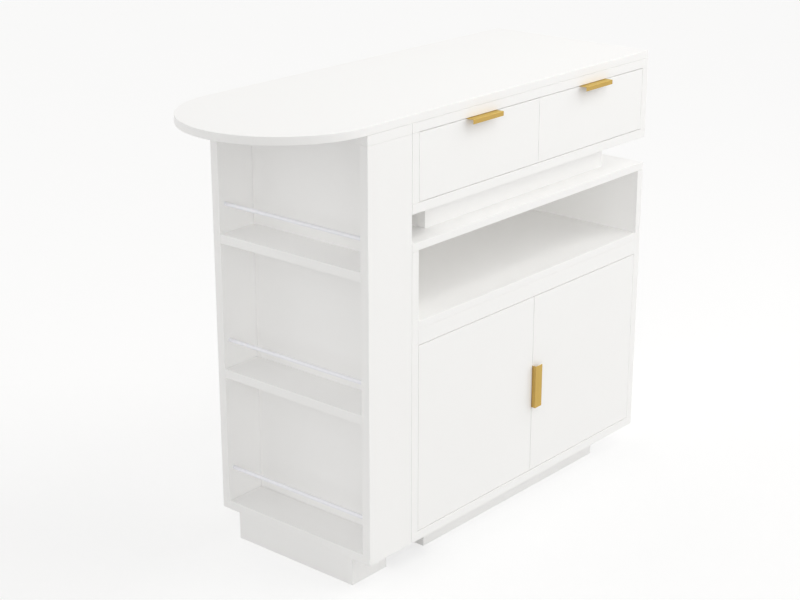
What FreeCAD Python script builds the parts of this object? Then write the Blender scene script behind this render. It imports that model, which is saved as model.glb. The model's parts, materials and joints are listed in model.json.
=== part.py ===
import FreeCAD, Part
import os

# Bar counter with shelves, in millimetres.
# +X runs along the counter from the round end to the square end, the drawers and doors face -Y,
# +Z is up, and the origin is the bottom centre of the whole counter.

# ---------------------------------------------------------------- driving dimensions
board = 19.0                    # sides, bottoms, backs, doors, drawer fronts and the whole tower
flat_board = 16.0               # worktop, top of the base cabinet and its fixed shelf
depth = 400.0                   # worktop, tower and cabinets, front to back
tower_width = 122.0             # end tower with the open shelves
module_gap = 1.0                # joint between the tower and the cabinets
cabinet_length = 777.0          # drawer unit and base cabinet

plinth_height = 57.0
cabinet_height = 615.0          # base cabinet without its plinth
riser_height = 56.5             # recessed frame between base cabinet and drawer unit
drawer_unit_height = 171.5

plinth_setback_front = 46.0     # front and back of every plinth and of the riser
plinth_setback_end = 92.0       # ends of the cabinet plinth and of the riser
tower_plinth_setback_right = 22.0

niche_height = 140.0            # open compartment above the doors
shelf_rail_height = 32.5        # lipping under the front edge of the fixed shelf
front_gap = 1.5                 # joints over and under the drawer fronts and doors, and between doors
side_gap = 1.0                  # joints beside the fronts and doors, and between drawer fronts

tower_niche_depth = 91.0
tower_lower_tier = 269.5        # clear height of the bottom tier
tower_middle_tier = 261.0       # clear height of the middle tier
floor_groove = 1.5              # groove where the tower's floor meets its walls

guard_rail_radius = 4.0
guard_rail_setback = 16.0       # rail centre behind the tower's open face
guard_rail_height = 57.5        # rail centre above the two shelves
bottom_rail_height = 69.0       # rail centre above the tower's floor
guard_rail_seat = 8.0           # depth of the blind holes that hold the rails

pull_length = 93.0
pull_sheet = 1.0
drawer_pull_stand_off = 16.0
drawer_pull_lip = 9.0
door_pull_stand_off = 9.5
door_pull_lip = 22.0
door_pull_drop = 3.5            # centre of the pull below the middle of the door
pull_flange_setback = 1.0       # flange ends this far from the back of the board it sits on
pull_screw_inset = 16.0         # screws from the ends of the pull
pull_screw_radius = 1.5
pull_screw_head_radius = 2.5
pull_screw_length = 14.0

drawer_board = 12.0
drawer_box_height = 100.0
drawer_back_clearance = 18.0    # box ends this far in front of the drawer unit's back
drawer_box_lift = 15.0          # box above the floor of its bay
drawer_bottom_thickness = 4.0
drawer_bottom_lift = 8.0        # underside of the bottom panel above the box's lower edge
drawer_groove_depth = 5.0
divider_clearance = 1.0         # divider behind the drawer fronts

runner_width = 12.7             # space between drawer side and cabinet side
runner_height = 45.0
runner_sheet = 1.2
runner_axis_lift = 35.0         # runner centre above the box's lower edge
runner_end_clearance = 2.0      # runners end this far inside both ends of the box
runner_ball_space = 1.2         # between the flanges of nested members
runner_web_gap = 0.7            # between a web and the member next to it
runner_lip_gap = 0.9            # between the flange ends and the web on the drawer

pivot_setback = 32.0            # door pivot from the hinge edge of the door
pivot_depth = 6.5               # door pivot behind the face of the door
pin_radius = 3.0
pin_length_in_door = 30.0
pin_length_in_bush = 9.0
bush_radius = 4.5
bush_depth = 12.0
bush_flange_radius = 5.5

door_stop_overlap = 13.0        # door stop below the top edge of the doors
door_stop_from_pivot = 22.0     # door stop ends clear of the turning corners of the doors
magnet_radius = 5.0
magnet_length = 12.0
magnet_from_middle = 60.0       # magnet centre from the joint between the doors
strike_radius = 6.0
strike_thickness = 1.0

worktop_screw_radius = 2.0
worktop_screw_head_radius = 4.0
worktop_screw_head_height = 2.5
worktop_screw_bite = 11.0       # length of thread in the worktop
worktop_screw_inset = 60.0      # screws from the front and back edges
worktop_screw_end_inset = 90.0  # screws from the ends of the drawer unit

running_clearance = 0.05        # radial, pins in bushes
seat_clearance = 0.05           # radial, pins, rails, bushes and screws in their holes
touch_clearance = 0.3           # between pieces that move past each other

# ---------------------------------------------------------------- places worked out from them
round_end = depth / 2
total_length = round_end + tower_width + module_gap + cabinet_length
x_tower_left = -total_length / 2 + round_end
x_tower_right = x_tower_left + tower_width
x_left = x_tower_right + module_gap
x_right = x_left + cabinet_length
x_middle = (x_left + x_right) / 2

y_front = (drawer_pull_stand_off - depth) / 2
y_back = y_front + depth
y_behind_fronts = y_front + board
y_back_panel = y_back - board

z_cabinet_bottom = plinth_height
z_cabinet_top = z_cabinet_bottom + cabinet_height
z_drawers_bottom = z_cabinet_top + riser_height
z_drawers_top = z_drawers_bottom + drawer_unit_height

z_shelf_top = z_cabinet_top - flat_board - niche_height
z_shelf = z_shelf_top - flat_board
z_rail = z_shelf - shelf_rail_height
z_door_bottom = z_cabinet_bottom + board + front_gap
z_door_top = z_rail - front_gap
z_door_middle = (z_door_bottom + z_door_top) / 2

z_front_bottom = z_drawers_bottom + board + front_gap
z_front_top = z_drawers_top - board - front_gap
y_box_end = y_back_panel - drawer_back_clearance
z_box_bottom = z_drawers_bottom + board + drawer_box_lift
z_runner = z_box_bottom + runner_axis_lift
runner_nesting = 2 * (runner_sheet + runner_ball_space)
middle_runner_height = runner_height - runner_nesting
inner_runner_height = middle_runner_height - runner_nesting
middle_runner_offset = runner_sheet + runner_web_gap
fixed_runner_flange = runner_width - runner_sheet - runner_lip_gap
middle_runner_flange = fixed_runner_flange - middle_runner_offset
inner_runner_flange = runner_width - middle_runner_offset - runner_sheet - runner_web_gap

z_tower_floor = z_cabinet_bottom + board
z_lower_shelf = z_tower_floor + tower_lower_tier
z_upper_shelf = z_lower_shelf + board + tower_middle_tier
x_tower_inner = x_tower_left + tower_niche_depth

y_pivot = y_front + pivot_depth
x_left_pivot = x_left + board + side_gap + pivot_setback
x_right_pivot = x_right - board - side_gap - pivot_setback
z_stop_bottom = z_door_top - door_stop_overlap
z_magnet = z_door_top - door_stop_overlap / 2
y_stop = y_behind_fronts + touch_clearance

pull_screw_from_middle = pull_length / 2 - pull_screw_inset
pull_screw_starts = [
    (-pull_screw_from_middle, board / 2, pull_sheet),
    (pull_screw_from_middle, board / 2, pull_sheet),
]

screw_rows = (y_front + worktop_screw_inset, y_back - worktop_screw_inset)
unit_screw_places = [
    (x, y)
    for x in (x_left + worktop_screw_end_inset, x_right - worktop_screw_end_inset)
    for y in screw_rows
]
tower_screw_places = [((x_tower_left + x_tower_inner) / 2, y) for y in screw_rows]
all_screw_places = unit_screw_places + tower_screw_places


# ---------------------------------------------------------------- helpers
def block(x0, x1, y0, y1, z0, z1):
    """Box between two corners."""
    return Part.makeBox(x1 - x0, y1 - y0, z1 - z0, FreeCAD.Vector(x0, y0, z0))


def rod(start, direction, length, radius):
    """Cylinder that starts at a point and runs along a direction."""
    return Part.makeCylinder(radius, length, FreeCAD.Vector(*start), FreeCAD.Vector(*direction))


def screw(start, direction, length, radius, head_radius):
    """Countersunk screw: its flat head lies at start and its shank runs along direction."""
    point = FreeCAD.Vector(*start)
    axis = FreeCAD.Vector(*direction)
    head = Part.makeCone(head_radius, radius, head_radius - radius, point, axis)
    shank = Part.makeCylinder(radius, length, point, axis)
    return head.fuse(shank).removeSplitter()


def save(name, *solids):
    """Write one node, as a group when it holds several separate solids."""
    shape = solids[0] if len(solids) == 1 else Part.makeCompound(list(solids))
    shape.exportStep("parts/" + name + ".step")


# ---------------------------------------------------------------- carcasses
def carcass(x0, x1, z0, z1, top_thickness):
    """Top and bottom boards with two sides and a back between them."""
    inner_z0 = z0 + board
    inner_z1 = z1 - top_thickness
    return {
        "top": block(x0, x1, y_front, y_back, inner_z1, z1),
        "bottom": block(x0, x1, y_front, y_back, z0, inner_z0),
        "left_side": block(x0, x0 + board, y_front, y_back, inner_z0, inner_z1),
        "right_side": block(x1 - board, x1, y_front, y_back, inner_z0, inner_z1),
        "back": block(x0 + board, x1 - board, y_back_panel, y_back, inner_z0, inner_z1),
    }


def recessed_frame(x0, x1, z0, z1):
    """Two long rails with two short ends between them, set back at the front and the back."""
    y0 = y_front + plinth_setback_front
    y1 = y_back - plinth_setback_front
    rails = [
        block(x0, x1, y0, y0 + board, z0, z1),
        block(x0, x1, y1 - board, y1, z0, z1),
    ]
    ends = [
        block(x0, x0 + board, y0 + board, y1 - board, z0, z1),
        block(x1 - board, x1, y0 + board, y1 - board, z0, z1),
    ]
    return rails, ends


def make_worktop(screw_places):
    """Board with a half round left end and blind holes for the screws from below."""
    z0 = z_drawers_top
    left_front = FreeCAD.Vector(x_tower_left, y_front, z0)
    left_back = FreeCAD.Vector(x_tower_left, y_back, z0)
    right_front = FreeCAD.Vector(x_right, y_front, z0)
    right_back = FreeCAD.Vector(x_right, y_back, z0)
    far_left = FreeCAD.Vector(x_tower_left - round_end, (y_front + y_back) / 2, z0)
    outline = Part.Wire([
        Part.makeLine(left_front, right_front),
        Part.makeLine(right_front, right_back),
        Part.makeLine(right_back, left_back),
        Part.Arc(left_back, far_left, left_front).toShape(),
    ])
    solid = Part.Face(outline).extrude(FreeCAD.Vector(0, 0, flat_board))
    for x, y in screw_places:
        hole = rod((x, y, z0), (0, 0, 1), worktop_screw_bite + 1, worktop_screw_radius + seat_clearance)
        solid = solid.cut(hole)
    save("worktop", solid)


def bored_for_worktop_screws(top_board, places):
    """Clearance holes through a top board."""
    for x, y in places:
        start = (x, y, z_drawers_top - board)
        top_board = top_board.cut(rod(start, (0, 0, 1), board, worktop_screw_radius + seat_clearance))
    return top_board


def make_worktop_screws(places):
    """Pan head screws that go up through the top boards into the worktop."""
    solids = []
    for x, y in places:
        z = z_drawers_top - board
        head_start = (x, y, z - worktop_screw_head_height)
        head = rod(head_start, (0, 0, 1), worktop_screw_head_height, worktop_screw_head_radius)
        shank = rod((x, y, z), (0, 0, 1), board + worktop_screw_bite, worktop_screw_radius)
        solids.append(head.fuse(shank).removeSplitter())
    save("worktop_screws", *solids)


def make_drawer_unit(screw_places):
    boards = carcass(x_left, x_right, z_drawers_bottom, z_drawers_top, board)
    boards["top"] = bored_for_worktop_screws(boards["top"], screw_places)
    boards["divider"] = block(
        x_middle - board / 2, x_middle + board / 2, y_behind_fronts + divider_clearance, y_back_panel,
        z_drawers_bottom + board, z_drawers_top - board)
    for name, solid in boards.items():
        save("drawer_unit_" + name, solid)

    rails, ends = recessed_frame(
        x_left + plinth_setback_end, x_right - plinth_setback_end, z_cabinet_top, z_drawers_bottom)
    save("riser_rails", *rails)
    save("riser_ends", *ends)


def make_base_cabinet():
    boards = carcass(x_left, x_right, z_cabinet_bottom, z_cabinet_top, flat_board)
    inner_left = x_left + board
    inner_right = x_right - board
    boards["shelf"] = block(inner_left, inner_right, y_front, y_back_panel, z_shelf, z_shelf_top)
    boards["shelf_rail"] = block(inner_left, inner_right, y_front, y_behind_fronts, z_rail, z_shelf)

    stop = block(
        x_left_pivot + door_stop_from_pivot, x_right_pivot - door_stop_from_pivot,
        y_stop, y_stop + board, z_stop_bottom, z_shelf)
    magnets = []
    for side in (-1, 1):
        start = (x_middle + side * magnet_from_middle, y_stop, z_magnet)
        stop = stop.cut(rod(start, (0, 1, 0), magnet_length, magnet_radius + seat_clearance))
        magnets.append(rod(start, (0, 1, 0), magnet_length, magnet_radius))
    boards["door_stop"] = stop
    save("door_magnets", *magnets)

    bushes = []
    for x in (x_left_pivot, x_right_pivot):
        boards["bottom"] = boards["bottom"].cut(bush_hole(x, z_cabinet_bottom + board, -1))
        boards["shelf_rail"] = boards["shelf_rail"].cut(bush_hole(x, z_rail, 1))
        bushes.append(make_bush(x, z_cabinet_bottom + board, -1))
        bushes.append(make_bush(x, z_rail, 1))
    save("door_bushes", *bushes)

    for name, solid in boards.items():
        save("cabinet_" + name, solid)

    rails, ends = recessed_frame(
        x_left + plinth_setback_end, x_right - plinth_setback_end, 0, z_cabinet_bottom)
    save("cabinet_plinth_rails", *rails)
    save("cabinet_plinth_ends", *ends)


# ---------------------------------------------------------------- doors on pivot pins
def bush_hole(x, z_face, up):
    return rod((x, y_pivot, z_face), (0, 0, up), bush_depth, bush_radius + seat_clearance)


def make_bush(x, z_face, up):
    """Flanged bush: its body is in the board and its flange fills the joint beside the door."""
    body = rod((x, y_pivot, z_face), (0, 0, up), bush_depth - touch_clearance, bush_radius)
    flange = rod((x, y_pivot, z_face), (0, 0, -up), front_gap - touch_clearance, bush_flange_radius)
    bore_start = (x, y_pivot, z_face - up * front_gap)
    bore = rod(bore_start, (0, 0, up), front_gap + bush_depth, pin_radius + running_clearance)
    return body.fuse(flange).cut(bore).removeSplitter()


def make_door(name, x0, x1, x_pivot, x_magnet):
    """Inset door with two pivot pins and a steel strike let into its back."""
    panel = block(x0, x1, y_front, y_behind_fronts, z_door_bottom, z_door_top)
    pins = []
    for z_edge, up in ((z_door_bottom, 1), (z_door_top, -1)):
        socket = rod((x_pivot, y_pivot, z_edge), (0, 0, up), pin_length_in_door, pin_radius + seat_clearance)
        panel = panel.cut(socket)
        reach = front_gap + pin_length_in_bush
        pins.append(rod(
            (x_pivot, y_pivot, z_edge - up * reach), (0, 0, up), reach + pin_length_in_door, pin_radius))
    strike_start = (x_magnet, y_behind_fronts - strike_thickness, z_magnet)
    recess = rod(strike_start, (0, 1, 0), strike_thickness, strike_radius + seat_clearance)
    save(name + "_pins", *pins)
    save(name + "_strike", rod(strike_start, (0, 1, 0), strike_thickness, strike_radius))
    return panel.cut(recess)


def make_doors():
    left_panel = make_door(
        "left_door", x_left + board + side_gap, x_middle - front_gap / 2,
        x_left_pivot, x_middle - magnet_from_middle)
    save("left_door_panel", left_panel)

    right_edge = x_middle + front_gap / 2
    right_panel = make_door(
        "right_door", right_edge, x_right - board - side_gap,
        x_right_pivot, x_middle + magnet_from_middle)
    place = FreeCAD.Placement(
        FreeCAD.Vector(right_edge, y_front, z_door_middle - door_pull_drop),
        FreeCAD.Rotation(FreeCAD.Vector(0, 1, 0), -90))
    right_panel, pull, screws = fit_pull(right_panel, make_pull(door_pull_stand_off, door_pull_lip), place)
    save("right_door_pull", pull)
    save("right_door_pull_screws", *screws)
    save("right_door_panel", right_panel)


# ---------------------------------------------------------------- angle pulls
def make_pull(stand_off, lip):
    """Angle pull centred on the front edge of a board whose top is z = 0 and front is y = 0.

    The flange lies on the board and stands out by stand_off, and the lip hangs from its front
    edge. It is made along X.
    """
    half = pull_length / 2
    flange_end = board - pull_flange_setback
    flange = block(-half, half, -stand_off, flange_end, 0, pull_sheet)
    front = block(-half, half, -stand_off, -stand_off + pull_sheet, pull_sheet - lip, pull_sheet)
    pull = flange.fuse(front).removeSplitter()
    for start in pull_screw_starts:
        pull = pull.cut(screw(
            start, (0, 0, -1), 2 * pull_sheet,
            pull_screw_radius + seat_clearance, pull_screw_head_radius + seat_clearance))
    return pull


def fit_pull(panel, pull, place):
    """Put a pull and its screws at place and bore the panel for the screws."""
    pull.Placement = place
    screws = []
    hole_depth = pull_screw_length + touch_clearance
    for start in pull_screw_starts:
        solid = screw(start, (0, 0, -1), pull_screw_length, pull_screw_radius, pull_screw_head_radius)
        hole = rod(start, (0, 0, -1), hole_depth, pull_screw_radius + seat_clearance)
        solid.Placement = place.multiply(solid.Placement)
        hole.Placement = place.multiply(hole.Placement)
        panel = panel.cut(hole)
        screws.append(solid)
    return panel, pull, screws


# ---------------------------------------------------------------- drawers
def runner_channel(x_web, toward, height, flange, y0, y1):
    """Channel of bent sheet whose web stands at x_web and whose flanges run toward +1 or -1."""
    z0 = z_runner - height / 2
    z1 = z_runner + height / 2
    x_sheet = x_web + toward * runner_sheet
    x_flange = x_web + toward * flange
    web = block(min(x_web, x_sheet), max(x_web, x_sheet), y0, y1, z0, z1)
    lower = block(min(x_web, x_flange), max(x_web, x_flange), y0, y1, z0, z0 + runner_sheet)
    upper = block(min(x_web, x_flange), max(x_web, x_flange), y0, y1, z1 - runner_sheet, z1)
    return web.fuse([lower, upper]).removeSplitter()


def runner_set(x_carcass, toward):
    """Fixed, middle and drawer members of one runner beside a carcass face."""
    y0 = y_behind_fronts + runner_end_clearance
    y1 = y_box_end - runner_end_clearance
    fixed = runner_channel(x_carcass, toward, runner_height, fixed_runner_flange, y0, y1)
    middle = runner_channel(
        x_carcass + toward * middle_runner_offset, toward, middle_runner_height,
        middle_runner_flange, y0, y1)
    inner = runner_channel(
        x_carcass + toward * runner_width, -toward, inner_runner_height,
        inner_runner_flange, y0, y1)
    return fixed, middle, inner


def make_drawer(name, bay_left, bay_right, front_left, front_right):
    """Inset front, box of thin boards, drawer members of the runners and the pull."""
    box_left = bay_left + runner_width
    box_right = bay_right - runner_width
    y0 = y_behind_fronts
    y1 = y_box_end
    z0 = z_box_bottom
    z1 = z0 + drawer_box_height
    panel_z0 = z0 + drawer_bottom_lift
    panel_z1 = panel_z0 + drawer_bottom_thickness

    groove_left = box_left + drawer_board - drawer_groove_depth
    groove_right = box_right - drawer_board + drawer_groove_depth
    groove = block(
        groove_left - seat_clearance, groove_right + seat_clearance, y0 - drawer_groove_depth,
        y1, panel_z0 - seat_clearance, panel_z1 + seat_clearance)
    bottom = block(
        groove_left, groove_right, y0 - drawer_groove_depth + seat_clearance, y1, panel_z0, panel_z1)
    left = block(box_left, box_left + drawer_board, y0, y1, z0, z1).cut(groove)
    right = block(box_right - drawer_board, box_right, y0, y1, z0, z1).cut(groove)
    back = block(
        box_left + drawer_board, box_right - drawer_board, y1 - drawer_board, y1,
        panel_z1 + seat_clearance, z1)

    front = block(front_left, front_right, y_front, y_behind_fronts, z_front_bottom, z_front_top)
    front = front.cut(groove)
    place = FreeCAD.Placement(
        FreeCAD.Vector((front_left + front_right) / 2, y_front, z_front_top), FreeCAD.Rotation())
    front, pull, screws = fit_pull(front, make_pull(drawer_pull_stand_off, drawer_pull_lip), place)

    save(name + "_front", front)
    save(name + "_sides", left, right)
    save(name + "_back", back)
    save(name + "_bottom", bottom)
    save(name + "_pull", pull)
    save(name + "_pull_screws", *screws)

    left_set = runner_set(bay_left, 1)
    right_set = runner_set(bay_right, -1)
    save(name + "_middle_runners", left_set[1], right_set[1])
    save(name + "_inner_runners", left_set[2], right_set[2])
    return [left_set[0], right_set[0]]


def make_drawers():
    fixed = make_drawer(
        "left_drawer", x_left + board, x_middle - board / 2,
        x_left + board + side_gap, x_middle - side_gap / 2)
    fixed += make_drawer(
        "right_drawer", x_middle + board / 2, x_right - board,
        x_middle + side_gap / 2, x_right - board - side_gap)
    save("fixed_runners", *fixed)


# ---------------------------------------------------------------- end tower
def make_tower(screw_places):
    z0 = z_cabinet_bottom
    z_under_top = z_drawers_top - board
    y_inner_front = y_front + board
    y_inner_back = y_back - board

    top = block(x_tower_left, x_tower_right, y_front, y_back, z_under_top, z_drawers_top)
    save("tower_top", bored_for_worktop_screws(top, screw_places))

    front_side = block(x_tower_left, x_tower_right, y_front, y_inner_front, z0, z_under_top)
    back_side = block(x_tower_left, x_tower_right, y_inner_back, y_back, z0, z_under_top)
    rail_start = y_inner_front - guard_rail_seat
    rail_length = y_inner_back - y_inner_front + 2 * guard_rail_seat
    rails = {
        "upper": z_upper_shelf + board + guard_rail_height,
        "middle": z_lower_shelf + board + guard_rail_height,
        "lower": z_tower_floor + bottom_rail_height,
    }
    x_rail = x_tower_left + guard_rail_setback
    for name, z in rails.items():
        save("tower_guard_rail_" + name, rod(
            (x_rail, rail_start + touch_clearance, z), (0, 1, 0),
            rail_length - 2 * touch_clearance, guard_rail_radius))
        socket = rod((x_rail, rail_start, z), (0, 1, 0), rail_length, guard_rail_radius + seat_clearance)
        front_side = front_side.cut(socket)
        back_side = back_side.cut(socket)
    save("tower_front_side", front_side)
    save("tower_back_side", back_side)

    save("tower_inner_panel", block(
        x_tower_inner, x_tower_inner + board, y_inner_front, y_inner_back, z_tower_floor, z_under_top))
    for name, z in (("tower_lower_shelf", z_lower_shelf), ("tower_upper_shelf", z_upper_shelf)):
        save(name, block(x_tower_left, x_tower_inner, y_inner_front, y_inner_back, z, z + board))

    floor = block(x_tower_left, x_tower_right, y_inner_front, y_inner_back, z0, z_tower_floor)
    groove_bottom = z_tower_floor - floor_groove
    for y in (y_inner_front, y_inner_back - floor_groove):
        floor = floor.cut(block(
            x_tower_left, x_tower_inner, y, y + floor_groove, groove_bottom, z_tower_floor))
    floor = floor.cut(block(
        x_tower_inner - floor_groove, x_tower_inner, y_inner_front, y_inner_back,
        groove_bottom, z_tower_floor))
    save("tower_floor", floor)

    plinth_right = x_tower_right - tower_plinth_setback_right
    y0 = y_front + plinth_setback_front
    y1 = y_back - plinth_setback_front
    save(
        "tower_plinth_ends",
        block(x_tower_left, x_tower_left + board, y0, y1, 0, z0),
        block(plinth_right - board, plinth_right, y0, y1, 0, z0))
    save(
        "tower_plinth_rails",
        block(x_tower_left + board, plinth_right - board, y0, y0 + board, 0, z0),
        block(x_tower_left + board, plinth_right - board, y1 - board, y1, 0, z0))


# ---------------------------------------------------------------- build
os.makedirs("parts", exist_ok=True)

make_worktop(all_screw_places)
make_worktop_screws(all_screw_places)
make_drawer_unit(unit_screw_places)
make_drawers()
make_base_cabinet()
make_doors()
make_tower(tower_screw_places)
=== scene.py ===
import json
from math import cos, pi, radians, sin

import bmesh
import bpy
from mathutils import Euler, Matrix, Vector


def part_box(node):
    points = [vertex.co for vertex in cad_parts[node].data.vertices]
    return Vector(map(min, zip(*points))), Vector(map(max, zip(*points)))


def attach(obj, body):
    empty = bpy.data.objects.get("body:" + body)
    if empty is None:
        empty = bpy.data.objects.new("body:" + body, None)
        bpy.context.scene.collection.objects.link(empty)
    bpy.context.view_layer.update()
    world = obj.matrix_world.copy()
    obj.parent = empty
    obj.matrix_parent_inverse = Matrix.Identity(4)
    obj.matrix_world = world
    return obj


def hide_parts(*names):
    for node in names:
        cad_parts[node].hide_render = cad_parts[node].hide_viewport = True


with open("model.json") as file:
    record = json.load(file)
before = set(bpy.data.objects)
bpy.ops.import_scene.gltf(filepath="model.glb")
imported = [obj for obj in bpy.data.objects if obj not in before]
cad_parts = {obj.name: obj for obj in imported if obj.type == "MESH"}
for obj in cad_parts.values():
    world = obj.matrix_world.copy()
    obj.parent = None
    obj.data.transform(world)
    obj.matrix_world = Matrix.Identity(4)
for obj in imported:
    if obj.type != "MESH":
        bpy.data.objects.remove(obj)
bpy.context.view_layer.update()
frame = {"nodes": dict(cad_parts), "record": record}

MM = 0.001
LEFT = Vector((-1, 0, 0))
RIGHT = Vector((1, 0, 0))
FORWARD = Vector((0, -1, 0))
BACKWARD = Vector((0, 1, 0))
UP = Vector((0, 0, 1))
DOWN = Vector((0, 0, -1))

SCENE = bpy.context.scene
SLOTS = {entry["node"]: entry["material_slot"] for entry in frame["record"]["subparts"]}
BODIES = frame["record"]["behaviour"]["bodies"]
BODY_OF = {node: body for body, nodes in BODIES.items() for node in nodes}

# ---------------------------------------------------------------- camera and light
IMAGE_WIDTH = 800                  # pixels
FOCAL_PIXELS = 1722.7
SENSOR_WIDTH = 36.0                # mm
CAMERA_PLACE = Vector((-2.5451, -2.1366, 1.6304))
CAMERA_YAW = 49.576                # degrees from +Y toward +X
CAMERA_PITCH = 19.424              # degrees downward

LIGHT_BOUNCES = 32                 # the open compartment is lit by its own white boards
FLOOR_SIZE = 200.0                 # its far edge is then too far off to show
FLOOR_WHITE = (0.675, 0.685)
FLOOR_MOTTLE = 3.0                 # waves per metre
FLOOR_SHADE_SEEN = 0.6             # share of its shading that the camera and reflections see
FLOOR_LIFT = 0.62                  # white added to that share
LIGHT_TINT = (1.007, 1.0, 0.985)
WORLD_LIGHTS = (                   # direction, how narrow, strength
    (Vector((-1, 0, 0)), 1, 0.34),
    (Vector((0, 1, 0)), 1, 1.54),
    (Vector((-1, -1, 0.3)), 6, 1.57),
    (Vector((1, -1, 0.3)), 6, 1.70),
    (Vector((0.6, -0.7, 0.7)), 6, 0.55),
)
KEY_FROM = Vector((3, -0.7, 1.6))  # direction of the sun
KEY_WIDTH = 0.5                    # radians across
KEY_STRENGTH = 0.54
NEAR_LAMPS = (                     # name, place, target, watts
    ("overhead", Vector((0.3, -1.4, 3.2)), Vector((0.1, -0.1, 0.6)), 12.5),
    ("right_front", Vector((2.2, -1.4, 2.2)), Vector((0.2, -0.2, 0.5)), 5.6),
)
NEAR_LAMP_SIZE = 1.2               # metres across

# ---------------------------------------------------------------- sizes the boxes don't give
WELD = 0.01 * MM                   # points nearer than this are one point
TOUCH = 2 * WELD                   # faces nearer than this lie against each other
PROBE = 1.0 * MM                   # how far from an edge a neighbour is looked for
BEVEL_ANGLE = radians(30)          # a prism's edges over this angle get the bevel
SMOOTH_ANGLE = radians(35)         # without a bevel, edges over this one stay crisp

FREE_EDGE_RADIUS = 0.6 * MM        # edge banding of a board's free edges
JOINT_EDGE_SHARE = 0.5             # of that, where two boards meet flush
WORKTOP_EDGE_RADIUS = 1.1 * MM
BUTT_JOINT_GAP = 0.25 * MM         # hairline where a board's end or face butts on another
EDGE_STEPS = 3
ROUND_END_STEPS = 128

RAIL_CHAMFER = 0.3 * MM
RAIL_STEPS = 48
PULL_SHEET = 1.0 * MM
PULL_EDGE_RADIUS = 0.35 * MM

DISC_STEPS = 40
INLAY_PROUD = 0.02 * MM            # a disc or screw head over its board or sheet
INLAY_RIM = 0.15 * MM
MAGNET_GROOVE = (0.62, 0.74)       # ring round a pot magnet's core, shares of its radius
GROOVE_FLOOR = 0.25                # height of that groove's floor, share of INLAY_PROUD
SCREW_TAPER = 1.0 * MM
SHANK_SHARE = 0.6                  # of a pull screw's head radius
CROSS_ARM = 1.45 * MM              # painted shade: dark cross for a pull screw's cross recess
CROSS_WIDTH = 0.62 * MM

RUNNER_SHEET = 1.2 * MM
RUNNER_BEND = 1.5 * MM
BEND_STEPS = 5

BOARD_SLOTS = ("white_laminate", "drawer_board", "white_hardboard")
KEPT_BOARDS = ("tower_floor",)     # its grooves are in the CAD mesh
MODULES = ("tower", "drawer_unit", "riser", "cabinet")


# ---------------------------------------------------------------- node materials
BOARD_MOTTLE = 9.0                 # noise scales are in waves per metre
BOARD_WAVES = 14.0
BOARD_WAVE_HEIGHT = 0.05 * MM
BOARD_SHEEN = 260.0
PEARL = 1400.0
METAL_TONE = 22.0
PLASTIC_MOTTLE = 60.0
PLASTIC_SHEEN = 400.0
PLASTIC_GRAIN = 2500.0
PLASTIC_GRAIN_HEIGHT = 0.02 * MM
BOARD_GLOSS = (-0.04, 0.05)        # how far roughness goes below and above its middle
METAL_GLOSS = (-0.06, 0.08)
PLASTIC_GLOSS = (-0.05, 0.05)
SOFT_BUMP = 0.5
FIRM_BUMP = 0.6
ALONG_X = (60.0, 2600.0, 2600.0)   # noise drawn out into lines along one axis
ALONG_Y = (2600.0, 60.0, 2600.0)
ALONG_Z = (2600.0, 2600.0, 60.0)
NO_TINT = (1.0, 1.0, 1.0)
GOLD_EDGE_TINT = (1.0, 1.0, 0.68)


class Nodes:
    """Short calls to build one node tree."""

    def __init__(self, tree):
        self.tree = tree
        tree.nodes.clear()

    def add(self, kind, inputs=None, **settings):
        node = self.tree.nodes.new(kind)
        for name, value in settings.items():
            setattr(node, name, value)
        for name, value in (inputs or {}).items():
            if isinstance(value, bpy.types.NodeSocket):
                self.tree.links.new(value, node.inputs[name])
            else:
                node.inputs[name].default_value = value
        return node

    def noise(self, scale, stretch=(1, 1, 1), detail=3.0, roughness=0.5):
        """Noise over the object's own coordinates, in waves per metre."""
        place = self.add("ShaderNodeTexCoord").outputs["Object"]
        mapped = self.add("ShaderNodeMapping", {"Vector": place, "Scale": stretch})
        return self.add("ShaderNodeTexNoise", {
            "Vector": mapped.outputs["Vector"],
            "Scale": scale, "Detail": detail, "Roughness": roughness,
        }).outputs["Fac"]

    def math(self, operation, *values):
        return self.add("ShaderNodeMath", dict(enumerate(values)), operation=operation).outputs[0]

    def ramp(self, value, low, high):
        """Maps 0..1 to low..high."""
        inputs = {"Value": value, "To Min": low, "To Max": high}
        return self.add("ShaderNodeMapRange", inputs).outputs["Result"]

    def blend(self, factor, first, second):
        mix = self.add("ShaderNodeMix", {"Factor": factor}, data_type="RGBA")
        mix.inputs["A"].default_value = (*first, 1)
        mix.inputs["B"].default_value = (*second, 1)
        return mix.outputs["Result"]

    def bump(self, height, distance, strength, under=None):
        inputs = {"Height": height, "Distance": distance, "Strength": strength}
        if under is not None:
            inputs["Normal"] = under
        return self.add("ShaderNodeBump", inputs).outputs["Normal"]

    def surface(self, **inputs):
        """Principled shader. A space in a socket's name is written as _."""
        named = {name.replace("_", " "): value for name, value in inputs.items()}
        shader = self.add("ShaderNodeBsdfPrincipled", named)
        self.add("ShaderNodeOutputMaterial", {"Surface": shader.outputs["BSDF"]})


def new_material(name):
    material = bpy.data.materials.new(name)
    material.use_nodes = True
    return material, Nodes(material.node_tree)


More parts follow.
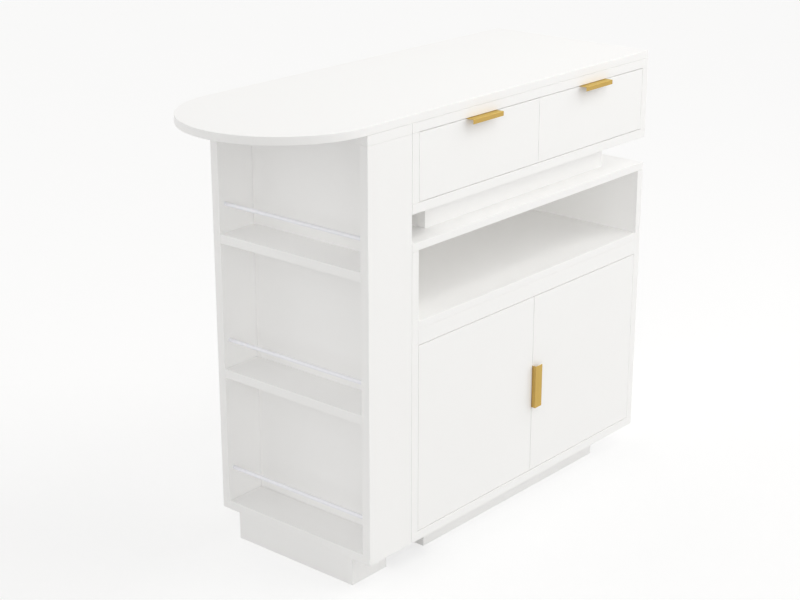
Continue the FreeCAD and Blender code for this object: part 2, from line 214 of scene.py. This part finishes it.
def laminate(name, pale, deep, roughness, grain):
    """Satin melamine foil: a fine pearl texture over very slight, broad waves in the board."""
    material, nodes = new_material(name)
    below, above = BOARD_GLOSS
    mottle = nodes.noise(BOARD_MOTTLE, detail=4.0)
    waves = nodes.bump(nodes.noise(BOARD_WAVES, detail=1.0), BOARD_WAVE_HEIGHT, SOFT_BUMP)
    pearl = nodes.bump(nodes.noise(PEARL, detail=2.0), grain, SOFT_BUMP, waves)
    nodes.surface(
        Base_Color=nodes.blend(mottle, pale, deep),
        Roughness=nodes.ramp(nodes.noise(BOARD_SHEEN), roughness + below, roughness + above),
        Normal=pearl,
    )
    return material


def metal(name, pale, deep, roughness, stretch, scratch, edge_tint=NO_TINT, metallic=1.0):
    """Metal with fine lines along its drawing direction and a broad change of tone."""
    material, nodes = new_material(name)
    below, above = METAL_GLOSS
    lines = nodes.noise(1.0, stretch=stretch, detail=5.0, roughness=0.65)
    tone = nodes.noise(METAL_TONE, detail=2.0)
    nodes.surface(
        Base_Color=nodes.blend(tone, pale, deep),
        Metallic=metallic,
        Specular_Tint=(*edge_tint, 1),
        Roughness=nodes.ramp(lines, roughness + below, roughness + above),
        Normal=nodes.bump(lines, scratch, FIRM_BUMP),
    )
    return material


def plastic(name, pale, deep, roughness):
    """Moulded plastic with a fine spark-eroded grain."""
    material, nodes = new_material(name)
    below, above = PLASTIC_GLOSS
    mottle = nodes.noise(PLASTIC_MOTTLE)
    sheen = nodes.noise(PLASTIC_SHEEN)
    grain = nodes.noise(PLASTIC_GRAIN, detail=2.0)
    nodes.surface(
        Base_Color=nodes.blend(mottle, pale, deep),
        Roughness=nodes.ramp(sheen, roughness + below, roughness + above),
        Normal=nodes.bump(grain, PLASTIC_GRAIN_HEIGHT, FIRM_BUMP),
    )
    return material


GOLD = ((0.632, 0.428, 0.134), (0.592, 0.392, 0.116), 0.34)
LAMINATES = {                      # pale and deep colour, roughness, height of the grain
    "white_laminate": ((0.964, 0.962, 0.958), (0.957, 0.955, 0.950), 0.42, 0.006 * MM),
    "drawer_board": ((0.930, 0.928, 0.918), (0.915, 0.913, 0.902), 0.50, 0.010 * MM),
    "white_hardboard": ((0.915, 0.912, 0.900), (0.895, 0.892, 0.878), 0.38, 0.015 * MM),
}
METALS = {                         # both colours, roughness, lines, their depth, tint, metallic
    "gold_aluminium": (*GOLD, ALONG_X, 0.006 * MM, GOLD_EDGE_TINT),
    "pull_screw_steel": (
        (0.620, 0.420, 0.140), (0.560, 0.370, 0.120), 0.38, ALONG_Y, 0.006 * MM),
    "rail_steel": (
        (0.905, 0.905, 0.940), (0.880, 0.880, 0.920), 0.52, ALONG_Y, 0.004 * MM, NO_TINT, 0.55),
    "runner_steel": (
        (0.660, 0.675, 0.690), (0.600, 0.610, 0.630), 0.34, ALONG_Y, 0.006 * MM),
    "pin_steel": (
        (0.600, 0.605, 0.620), (0.550, 0.555, 0.570), 0.30, ALONG_Z, 0.005 * MM),
    "strike_steel": (
        (0.650, 0.655, 0.665), (0.600, 0.605, 0.615), 0.26, ALONG_X, 0.004 * MM),
    "screw_steel": (
        (0.640, 0.645, 0.655), (0.590, 0.595, 0.605), 0.32, ALONG_Z, 0.005 * MM),
    "magnet": (
        (0.560, 0.555, 0.550), (0.500, 0.495, 0.490), 0.22, ALONG_X, 0.003 * MM),
}

MATERIALS = {name: laminate(name, *look) for name, look in LAMINATES.items()}
MATERIALS.update({name: metal(name, *look) for name, look in METALS.items()})
MATERIALS["bush_nylon"] = plastic(
    "bush_nylon", (0.840, 0.840, 0.825), (0.810, 0.810, 0.795), 0.45)
GOLD_UPRIGHT = metal("gold_aluminium_upright", *GOLD, ALONG_Z, 0.006 * MM, GOLD_EDGE_TINT)
# A dark cross of painted shade that stands in for the shaded hollow of a screw's cross recess.
PAINTED_SHADE_CROSS = metal(
    "painted_shade_cross", (0.150, 0.110, 0.050), (0.110, 0.080, 0.035), 0.60, ALONG_Y, 0.010 * MM)


# ---------------------------------------------------------------- mesh helpers
def solid_boxes(node):
    """Lowest and highest corner of each separate solid in a CAD node."""
    cad = bmesh.new()
    cad.from_mesh(frame["nodes"][node].data)
    bmesh.ops.remove_doubles(cad, verts=cad.verts, dist=WELD)
    boxes = []
    waiting = set(cad.verts)
    while waiting:
        solid = [waiting.pop()]
        for vert in solid:
            linked = {edge.other_vert(vert) for edge in vert.link_edges} & waiting
            waiting -= linked
            solid.extend(linked)
        low = Vector(min(vert.co[axis] for vert in solid) for axis in range(3))
        high = Vector(max(vert.co[axis] for vert in solid) for axis in range(3))
        boxes.append((low, high))
    cad.free()
    return sorted(boxes, key=lambda box: tuple(box[0]))


def piece_from(mesh, node, material=None):
    """Makes a bmesh into a smooth shaded piece that replaces a CAD node."""
    name = node + "_finished"
    bmesh.ops.recalc_face_normals(mesh, faces=mesh.faces)
    data = bpy.data.meshes.new(name)
    mesh.to_mesh(data)
    mesh.free()
    data.shade_smooth()
    data.materials.append(material or MATERIALS[SLOTS[node]])
    piece = bpy.data.objects.new(name, data)
    SCENE.collection.objects.link(piece)
    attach(piece, BODY_OF[node])
    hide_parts(node)
    return piece


def soften(piece, radius):
    """Rounds the weighted edges and keeps the flat faces flat."""
    bevel = piece.modifiers.new("edges", "BEVEL")
    bevel.limit_method = "WEIGHT"
    bevel.width = radius
    bevel.segments = EDGE_STEPS
    bevel.harden_normals = True


def prism(mesh, outline, rise, weight):
    """Extrudes a closed outline by rise, and gives its edges their weights for the bevel."""
    layers = mesh.edges.layers.float
    weights = layers.get("bevel_weight_edge") or layers.new("bevel_weight_edge")
    low = [mesh.verts.new(point) for point in outline]
    high = [mesh.verts.new(point + rise) for point in outline]
    mesh.faces.new(low)
    mesh.faces.new(reversed(high))
    for i in range(len(outline)):
        mesh.faces.new((low[i - 1], high[i - 1], high[i], low[i]))
    bmesh.ops.recalc_face_normals(mesh, faces=mesh.faces)
    ring = set(low + high)
    for edge in {edge for vert in ring for edge in vert.link_edges}:
        edge[weights] = weight(edge)


def sharp_weight(edge):
    return 1.0 if edge.calc_face_angle(0.0) > BEVEL_ANGLE else 0.0


def no_weight(edge):
    return 0.0


def lathe(mesh, start, axis, profile, steps):
    """Turns (radius, height) points about an axis. The first and last radius are 0."""
    turn = axis.to_track_quat("Z", "Y").to_matrix()
    rings = []
    for radius, height in profile:
        if radius == 0:
            rings.append([mesh.verts.new(start + turn @ Vector((0, 0, height)))] * steps)
            continue
        angles = [2 * pi * i / steps for i in range(steps)]
        ring = [Vector((radius * cos(a), radius * sin(a), height)) for a in angles]
        rings.append([mesh.verts.new(start + turn @ point) for point in ring])
    for lower, upper in zip(rings, rings[1:]):
        for i in range(steps):
            corners = (lower[i - 1], lower[i], upper[i], upper[i - 1])
            mesh.faces.new(dict.fromkeys(corners))


def mark_sharp(mesh):
    """Keeps the sharp edges of a mesh without a bevel crisp under smooth shading."""
    bmesh.ops.recalc_face_normals(mesh, faces=mesh.faces)
    for edge in mesh.edges:
        edge.smooth = edge.calc_face_angle(0.0) < SMOOTH_ANGLE


# ---------------------------------------------------------------- boards
def inside(point, box):
    low, high = box
    return all(low[axis] < point[axis] < high[axis] for axis in range(3))


def module_of(node):
    """The carcass that a board belongs to, or the node itself where it has none."""
    return next((module for module in MODULES if node.startswith(module)), node)


ALL_BOARDS = [
    (module_of(node), box)
    for node in sorted(SLOTS) if SLOTS[node] in BOARD_SLOTS
    for box in solid_boxes(node)
]


def edge_weight(edge, box, neighbours):
    """Full rounding on a free edge, and less where a neighbour's board is flush with it."""
    low, high = box
    middle = (edge.verts[0].co + edge.verts[1].co) / 2
    away = middle - (low + high) / 2
    outward = []
    for axis, (minus, plus) in enumerate(((LEFT, RIGHT), (FORWARD, BACKWARD), (DOWN, UP))):
        if abs(away[axis]) > PROBE:
            outward.append(plus if away[axis] > 0 else minus)
    first, second = outward
    for way in (first - second, second - first):
        if any(inside(middle + PROBE * way, other) for other in neighbours):
            return JOINT_EDGE_SHARE
    return 1.0


def butts(box, axis, upper, neighbours):
    """Whether one face of a board lies wholly against another board."""
    low, high = box
    for other_low, other_high in neighbours:
        apart = high[axis] - other_low[axis] if upper else low[axis] - other_high[axis]
        covered = all(
            other_low[i] < low[i] + TOUCH and other_high[i] > high[i] - TOUCH
            for i in range(3) if i != axis
        )
        if abs(apart) < TOUCH and covered:
            return True
    return False


def drawn_back(box, neighbours):
    """The board's box, a hairline short of what it butts against."""
    low, high = box[0].copy(), box[1].copy()
    for axis in range(3):
        if butts(box, axis, False, neighbours):
            low[axis] += BUTT_JOINT_GAP
        if butts(box, axis, True, neighbours):
            high[axis] -= BUTT_JOINT_GAP
    return low, high


def make_boards(node):
    """The node's boards, with rounded edge banding and a hairline at each butt joint."""
    module = module_of(node)
    mesh = bmesh.new()
    for box in solid_boxes(node):
        neighbours = [
            other for name, other in ALL_BOARDS if name in (module, "worktop") and other != box
        ]
        low, high = drawn_back(box, neighbours)
        outline = [
            Vector((low.x, low.y, low.z)), Vector((high.x, low.y, low.z)),
            Vector((high.x, high.y, low.z)), Vector((low.x, high.y, low.z)),
        ]
        rise = Vector((0, 0, high.z - low.z))
        prism(mesh, outline, rise, lambda edge: edge_weight(edge, box, neighbours))
    soften(piece_from(mesh, node), FREE_EDGE_RADIUS)


def make_worktop():
    """Board with a half round left end and one run of edge banding all round."""
    low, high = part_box("worktop")
    radius = (high.y - low.y) / 2
    centre = Vector((low.x + radius, (low.y + high.y) / 2, low.z))
    turn = [pi / 2 + pi * i / ROUND_END_STEPS for i in range(ROUND_END_STEPS + 1)]
    outline = [centre + radius * Vector((cos(a), sin(a), 0)) for a in turn]
    outline += [Vector((high.x, low.y, low.z)), Vector((high.x, high.y, low.z))]
    mesh = bmesh.new()
    prism(mesh, outline, Vector((0, 0, high.z - low.z)), sharp_weight)
    soften(piece_from(mesh, "worktop"), WORKTOP_EDGE_RADIUS)


# ---------------------------------------------------------------- metal pieces
def make_guard_rail(node):
    """Steel rod from the tower's front side to its back side, with chamfered ends."""
    low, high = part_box(node)
    radius = (high.x - low.x) / 2
    length = high.y - low.y
    start = Vector(((low.x + high.x) / 2, low.y, (low.z + high.z) / 2))
    profile = [
        (0, 0), (radius - RAIL_CHAMFER, 0), (radius, RAIL_CHAMFER),
        (radius, length - RAIL_CHAMFER), (radius - RAIL_CHAMFER, length), (0, length),
    ]
    mesh = bmesh.new()
    lathe(mesh, start, BACKWARD, profile, RAIL_STEPS)
    mark_sharp(mesh)
    piece_from(mesh, node)


def angle_section(depth, lip):
    """Section of an angle pull: (forward, across) from the back corner of the flange."""
    return [
        (0, 0), (depth, 0), (depth, lip), (depth - PULL_SHEET, lip),
        (depth - PULL_SHEET, PULL_SHEET), (0, PULL_SHEET),
    ]


def make_pull(node, upright):
    """Angle pull along X over a drawer front, or upright on the edge of a door."""
    low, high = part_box(node)
    if upright:
        back_corner = Vector((low.x, high.y, low.z))
        across, lip = RIGHT, high.x - low.x
        rise = Vector((0, 0, high.z - low.z))
    else:
        back_corner = Vector((low.x, high.y, high.z))
        across, lip = DOWN, high.z - low.z
        rise = Vector((high.x - low.x, 0, 0))
    section = angle_section(high.y - low.y, lip)
    outline = [back_corner + out * FORWARD + over * across for out, over in section]
    mesh = bmesh.new()
    prism(mesh, outline, rise, sharp_weight)
    soften(piece_from(mesh, node, GOLD_UPRIGHT if upright else None), PULL_EDGE_RADIUS)


def faced_solids(node, outward):
    """For each solid of a node: middle of its inner end, its length and its radius."""
    axis = max(range(3), key=lambda i: abs(outward[i]))
    across = (axis + 1) % 3
    for low, high in solid_boxes(node):
        middle = (low + high) / 2
        length = high[axis] - low[axis]
        yield middle - outward * length / 2, length, (high[across] - low[across]) / 2


def make_inlays(node, outward, groove=None):
    """Plated discs let into a board, with a bevelled rim and, on a magnet, a ring groove."""
    mesh = bmesh.new()
    for start, length, radius in faced_solids(node, outward):
        top = length + INLAY_PROUD
        profile = [(0, 0), (radius, 0), (radius, length), (radius - INLAY_RIM, top)]
        if groove:
            bottom = length + INLAY_PROUD * GROOVE_FLOOR
            core, ring = (share * radius for share in groove)
            profile += [(ring, top), (ring, bottom), (core, bottom), (core, top)]
        lathe(mesh, start, outward, profile + [(0, top)], DISC_STEPS)
    mark_sharp(mesh)
    piece_from(mesh, node)


def make_pull_screws(node, outward):
    """Countersunk screws of a pull, each with a dark cross of painted shade for a recess."""
    mesh = bmesh.new()
    side = BACKWARD
    up = outward.cross(side)
    arm, half = CROSS_ARM, CROSS_WIDTH / 2
    cross = [
        (arm, half), (half, half), (half, arm), (-half, arm), (-half, half), (-arm, half),
        (-arm, -half), (-half, -half), (-half, -arm), (half, -arm), (half, -half), (arm, -half),
    ]
    for start, length, radius in faced_solids(node, outward):
        top = length + INLAY_PROUD
        shank = radius * SHANK_SHARE
        profile = [
            (0, 0), (shank, SCREW_TAPER), (shank, length - (radius - shank)),
            (radius, length), (radius - INLAY_RIM, top), (0, top),
        ]
        lathe(mesh, start, outward, profile, DISC_STEPS)
        # The cross lies on the head as a thin dark sheet of painted shade, in place of a real
        # recess.
        earlier = set(mesh.faces)
        outline = [start + outward * top + side * i + up * j for i, j in cross]
        prism(mesh, outline, outward * INLAY_PROUD, no_weight)
        for face in set(mesh.faces) - earlier:
            face.material_index = 1
    mark_sharp(mesh)
    piece_from(mesh, node).data.materials.append(PAINTED_SHADE_CROSS)


def channel_section(width, height):
    """Bent sheet channel: (out from the web, up from the middle), with round bends."""
    half = height / 2
    inner = RUNNER_BEND - RUNNER_SHEET
    quarter = [pi / 2 * i / BEND_STEPS for i in range(BEND_STEPS + 1)]
    outer_bend = [
        (RUNNER_BEND * (1 - sin(a)), -half + RUNNER_BEND * (1 - cos(a))) for a in quarter
    ]
    inner_bend = [
        (RUNNER_BEND - inner * sin(a), -half + RUNNER_BEND - inner * cos(a)) for a in quarter
    ]
    lower_tip = [(width, -half + RUNNER_SHEET), (width, -half)]
    upper_tip = [(width, half), (width, half - RUNNER_SHEET)]
    web = outer_bend + [(out, -up) for out, up in reversed(outer_bend)]
    hollow = [(out, -up) for out, up in inner_bend] + list(reversed(inner_bend))
    return lower_tip + web + upper_tip + hollow


def make_runners(node, facing):
    """Channels of a node, each open toward +X or -X as facing(box) says."""
    mesh = bmesh.new()
    for low, high in solid_boxes(node):
        way = facing(low, high)
        web = low.x if way > 0 else high.x
        start = Vector((web, low.y, (low.z + high.z) / 2))
        section = channel_section(high.x - low.x, high.z - low.z)
        outline = [start + Vector((way * out, 0, up)) for out, up in section]
        prism(mesh, outline, Vector((0, high.y - low.y, 0)), no_weight)
    mark_sharp(mesh)
    piece_from(mesh, node)


def bay_side(low, high):
    """+1 for a runner at the left of its drawer, -1 at the right."""
    middle = (low.x + high.x) / 2
    bottoms = [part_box("left_drawer_bottom"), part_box("right_drawer_bottom")]
    centres = [(corners[0].x + corners[1].x) / 2 for corners in bottoms]
    nearest = min(centres, key=lambda centre: abs(centre - middle))
    return 1 if middle < nearest else -1


# ---------------------------------------------------------------- stage
def seen_directly(nodes):
    """1 for the camera and for what is mirrored or seen through, 0 for diffuse light."""
    path = nodes.add("ShaderNodeLightPath").outputs
    seen = nodes.math("MAXIMUM", path["Is Camera Ray"], path["Is Glossy Ray"])
    return nodes.math("MAXIMUM", seen, path["Is Transmission Ray"])


def make_floor():
    """White floor. The camera sees part of its shading, lifted to the background's white."""
    material, nodes = new_material("floor")
    seen = seen_directly(nodes)
    tone = nodes.ramp(nodes.noise(FLOOR_MOTTLE), *FLOOR_WHITE)
    shade = nodes.math("MULTIPLY", tone, nodes.ramp(seen, 1.0, FLOOR_SHADE_SEEN))
    diffuse = nodes.add("ShaderNodeBsdfDiffuse", {"Color": shade}).outputs[0]
    added = nodes.math("MULTIPLY", seen, FLOOR_LIFT)
    lift = nodes.add("ShaderNodeEmission", {"Strength": added}).outputs[0]
    total = nodes.add("ShaderNodeAddShader", {0: diffuse, 1: lift})
    nodes.add("ShaderNodeOutputMaterial", {"Surface": total.outputs[0]})

    mesh = bmesh.new()
    bmesh.ops.create_grid(mesh, x_segments=1, y_segments=1, size=FLOOR_SIZE / 2)
    data = bpy.data.meshes.new("floor")
    mesh.to_mesh(data)
    mesh.free()
    data.materials.append(material)
    floor = bpy.data.objects.new("floor", data)
    SCENE.collection.objects.link(floor)


def make_world():
    """White background, and soft light from the wide directions of WORLD_LIGHTS."""
    world = bpy.data.worlds.new("studio")
    SCENE.world = world
    world.use_nodes = True
    nodes = Nodes(world.node_tree)
    way = nodes.add("ShaderNodeTexCoord").outputs["Generated"]
    strength = 0.0
    for side, narrow, share in WORLD_LIGHTS:
        facing = nodes.add(
            "ShaderNodeVectorMath", {0: way, 1: side.normalized()}, operation="DOT_PRODUCT")
        ahead = nodes.math("MAXIMUM", facing.outputs["Value"], 0.0)
        toward = nodes.math("POWER", ahead, narrow)
        strength = nodes.math("MULTIPLY_ADD", toward, share, strength)
    light = {"Color": (*LIGHT_TINT, 1), "Strength": strength}
    lit = nodes.add("ShaderNodeBackground", light).outputs[0]
    white = nodes.add("ShaderNodeBackground", {"Color": (1, 1, 1, 1)}).outputs[0]
    mix = nodes.add("ShaderNodeMixShader", {0: seen_directly(nodes), 1: lit, 2: white})
    nodes.add("ShaderNodeOutputWorld", {"Surface": mix.outputs[0]})


def put_lamp(name, kind, place, target, energy, **settings):
    """A lamp that shines from place to target, and that the camera doesn't see."""
    light = bpy.data.lights.new(name, kind)
    light.energy = energy
    light.color = LIGHT_TINT
    for key, value in settings.items():
        setattr(light, key, value)
    lamp = bpy.data.objects.new(name, light)
    lamp.location = place
    lamp.rotation_euler = (target - place).to_track_quat("-Z", "Y").to_euler()
    lamp.visible_camera = False
    SCENE.collection.objects.link(lamp)


def make_lamps():
    """A weak, wide sun from the right, and near discs whose light fades down the front."""
    put_lamp("key", "SUN", KEY_FROM, Vector(), KEY_STRENGTH, angle=KEY_WIDTH)
    for name, place, target, watts in NEAR_LAMPS:
        put_lamp(name, "AREA", place, target, watts, shape="DISK", size=NEAR_LAMP_SIZE)


def make_camera():
    """The photo's viewpoint, solved from the straight edges of the counter."""
    data = bpy.data.cameras.new("camera")
    data.sensor_width = SENSOR_WIDTH
    data.lens = FOCAL_PIXELS * SENSOR_WIDTH / IMAGE_WIDTH
    camera = bpy.data.objects.new("camera", data)
    camera.location = CAMERA_PLACE
    camera.rotation_euler = Euler((radians(90 - CAMERA_PITCH), 0, radians(-CAMERA_YAW)))
    SCENE.collection.objects.link(camera)
    SCENE.camera = camera


# ---------------------------------------------------------------- build
SCENE.view_settings.view_transform = "Standard"
SCENE.cycles.max_bounces = LIGHT_BOUNCES
SCENE.cycles.diffuse_bounces = LIGHT_BOUNCES
make_camera()
make_world()
make_lamps()
make_floor()

for node, cad_object in frame["nodes"].items():
    cad_object.data.materials.clear()
    cad_object.data.materials.append(MATERIALS[SLOTS[node]])

make_worktop()
for node in sorted(SLOTS):
    if SLOTS[node] in BOARD_SLOTS and node != "worktop" and node not in KEPT_BOARDS:
        make_boards(node)
for node in ("tower_guard_rail_upper", "tower_guard_rail_middle", "tower_guard_rail_lower"):
    make_guard_rail(node)
make_pull("left_drawer_pull", upright=False)
make_pull("right_drawer_pull", upright=False)
make_pull("right_door_pull", upright=True)

for node in ("left_drawer_pull_screws", "right_drawer_pull_screws"):
    make_pull_screws(node, UP)
make_pull_screws("right_door_pull_screws", LEFT)
make_inlays("door_magnets", FORWARD, MAGNET_GROOVE)
for node in ("left_door_strike", "right_door_strike"):
    make_inlays(node, BACKWARD)

make_runners("fixed_runners", bay_side)
for side in ("left", "right"):
    make_runners(side + "_drawer_middle_runners", bay_side)
    make_runners(side + "_drawer_inner_runners", lambda low, high: -bay_side(low, high))
